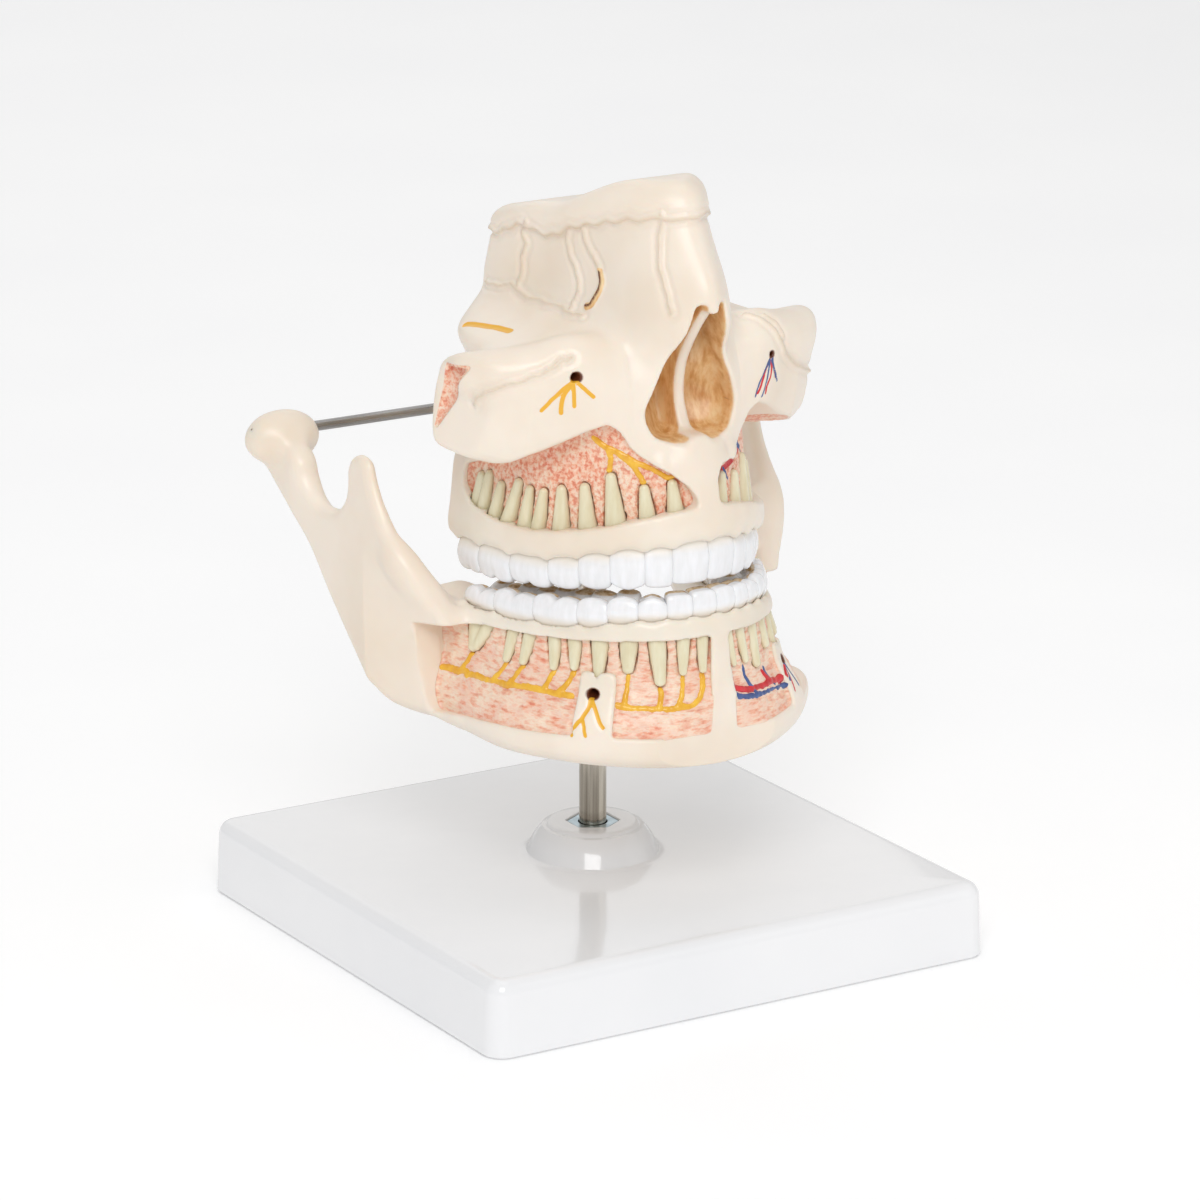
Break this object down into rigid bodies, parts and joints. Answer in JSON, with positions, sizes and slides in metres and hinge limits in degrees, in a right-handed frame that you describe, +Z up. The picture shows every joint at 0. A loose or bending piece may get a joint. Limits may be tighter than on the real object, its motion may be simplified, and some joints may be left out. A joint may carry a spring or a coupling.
{
  "type": "typodont model",
  "caption": "Life-size jaw model on a square stand, with a hinged lower jaw, separate teeth and bone windows over the roots.",
  "frame": {"origin": "middle of the base's underside, on the surface it stands on", "axes": "+Z up, the face looks along -Y, the model's left side is at +X"},
  "size_m": [0.128, 0.131, 0.1786],
  "materials": {
    "base": "polished white moulding",
    "bone": "satin cast plastic, warm ivory",
    "tooth": "polished, slightly translucent crown over a cream root",
    "nickel": "nickel plated bright bar",
    "zinc": "zinc plated",
    "nerve": "painted yellow",
    "artery": "painted red",
    "vein": "painted blue"
  },
  "bodies": {
    "stand": {"base_shell": "base", "stand_post": "nickel", "post_nut_top": "zinc", "post_washer": "zinc", "post_nut_bottom": "zinc"},
    "upper_jaw": {"maxilla": "bone", "hinge_rod": "nickel", "nerve_upper_right": "nerve", "tooth_upper_left_canine": "tooth", "tooth_upper_left_incisor_1": "tooth", "tooth_upper_left_incisor_2": "tooth", "tooth_upper_left_molar_1": "tooth", "tooth_upper_left_molar_2": "tooth", "tooth_upper_left_molar_3": "tooth", "tooth_upper_left_premolar_1": "tooth", "tooth_upper_left_premolar_2": "tooth", "tooth_upper_right_canine": "tooth", "tooth_upper_right_incisor_1": "tooth", "tooth_upper_right_incisor_2": "tooth", "tooth_upper_right_molar_1": "tooth", "tooth_upper_right_molar_2": "tooth", "tooth_upper_right_molar_3": "tooth", "tooth_upper_right_premolar_1": "tooth", "tooth_upper_right_premolar_2": "tooth"},
    "lower_jaw": {"mandible": "bone", "artery_lower_left": "artery", "nerve_lower_front": "nerve", "nerve_lower_right": "nerve", "vein_lower_left": "vein", "tooth_lower_left_canine": "tooth", "tooth_lower_left_incisor_1": "tooth", "tooth_lower_left_incisor_2": "tooth", "tooth_lower_left_molar_1": "tooth", "tooth_lower_left_molar_2": "tooth", "tooth_lower_left_molar_3": "tooth", "tooth_lower_left_premolar_1": "tooth", "tooth_lower_left_premolar_2": "tooth", "tooth_lower_right_canine": "tooth", "tooth_lower_right_incisor_1": "tooth", "tooth_lower_right_incisor_2": "tooth", "tooth_lower_right_molar_1": "tooth", "tooth_lower_right_molar_2": "tooth", "tooth_lower_right_molar_3": "tooth", "tooth_lower_right_premolar_1": "tooth", "tooth_lower_right_premolar_2": "tooth"}
  },
  "joints": [
    {"name": "post_swivel", "type": "hinge", "parent": "stand", "child": "upper_jaw", "pos_m": [0, 0, 0.1], "axis": [0, 0, 1], "continuous": true},
    {"name": "jaw_hinge", "type": "hinge", "parent": "upper_jaw", "child": "lower_jaw", "pos_m": [0, 0.0525, 0.11], "axis": [1, 0, 0], "range_deg": [-0.2, 18]}
  ]
}
